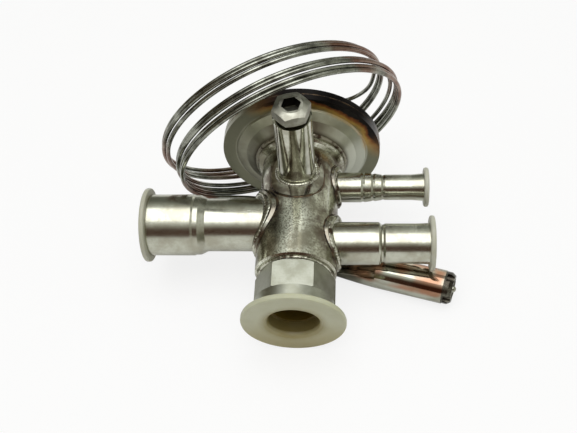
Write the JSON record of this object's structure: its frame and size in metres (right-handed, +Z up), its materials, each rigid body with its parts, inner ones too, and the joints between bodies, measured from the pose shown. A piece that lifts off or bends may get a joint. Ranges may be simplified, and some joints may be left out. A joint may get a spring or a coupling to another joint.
{
  "type": "refrigerant expansion valve",
  "caption": "Refrigerant expansion valve with solder ports, equalizer port, side setting spindle, diaphragm head and coiled capillary with bulb.",
  "frame": {"origin": "on the surface the part lies on, under the middle of the box round the valve without its cord and bulb", "axes": "+X along the ports towards the inlet, +Y from the port plug towards the power element, +Z up"},
  "size_m": [0.0884, 0.0891, 0.0672],
  "materials": {
    "steel": "satin stainless steel",
    "hard_steel": "machined steel",
    "spring_steel": "spring steel",
    "polished": "bright drawn stainless steel",
    "brass": "machined brass",
    "rubber": "black elastomer",
    "plug": "translucent ivory polyethylene"
  },
  "bodies": {
    "valve": {"valve_body": "steel", "orifice_port_fitting": "steel", "port_screw": "brass", "strainer": "steel", "orifice_seat": "hard_steel", "superheat_spring": "spring_steel", "spindle_gland": "steel", "spindle_housing": "steel", "element_near_cup": "steel", "element_diaphragm": "spring_steel", "element_far_cup": "steel", "outlet_tube": "steel", "inlet_tube": "steel", "equalizer_tube": "steel", "bulb_shell": "polished", "bulb_end_cap": "steel", "bulb_nipple": "steel", "capillary_coil": "polished", "capillary_lead": "polished", "capillary_tail": "polished"},
    "setting_gear": {"setting_spindle": "hard_steel", "spindle_o_ring": "rubber", "spindle_clip": "spring_steel"},
    "lifting_nut": {"setting_nut": "brass"},
    "seat": {"spring_seat": "brass"},
    "pin_assembly": {"thrust_pad": "steel", "push_pin": "hard_steel", "valve_cone": "hard_steel"},
    "outlet_cover": {"outlet_plug": "plug"},
    "inlet_cover": {"inlet_plug": "plug"},
    "equalizer_cover": {"equalizer_plug": "plug"},
    "port_cover": {"orifice_port_plug": "plug"}
  },
  "joints": [
    {"name": "setting_spindle_turn", "type": "hinge", "parent": "valve", "child": "setting_gear", "pos_m": [0.00275, 0.00391, 0.05031], "axis": [0, -0.1599, 0.9871], "range_deg": [-360, 360]},
    {"name": "setting_nut_slide", "type": "slide", "parent": "valve", "child": "lifting_nut", "axis": [0, 0.1599, -0.9871], "range_m": [-0.0005, 0.0005]},
    {"name": "spring_seat_slide", "type": "slide", "parent": "valve", "child": "seat", "axis": [0, 0.9871, 0.1599], "range_m": [-0.0005, 0.0005]},
    {"name": "pin_slide", "type": "slide", "parent": "valve", "child": "pin_assembly", "axis": [0, -0.9871, -0.1599], "range_m": [0, 0.0008], "deforming": ["superheat_spring"]},
    {"name": "outlet_cover_slide", "type": "slide", "parent": "valve", "child": "outlet_cover", "axis": [-1, 0, 0], "range_m": [0, 0.04]},
    {"name": "inlet_cover_slide", "type": "slide", "parent": "valve", "child": "inlet_cover", "axis": [1, 0, 0], "range_m": [0, 0.04]},
    {"name": "equalizer_cover_slide", "type": "slide", "parent": "valve", "child": "equalizer_cover", "axis": [1, 0, 0], "range_m": [0, 0.04]},
    {"name": "port_cover_slide", "type": "slide", "parent": "valve", "child": "port_cover", "axis": [0, -0.9871, -0.1599], "range_m": [0, 0.04]}
  ],
  "couplings": [
    {"joint": "setting_spindle_turn", "follows": "setting_nut_slide", "rad_per_m": 12566},
    {"joint": "spring_seat_slide", "follows": "setting_nut_slide", "ratio": 1}
  ]
}
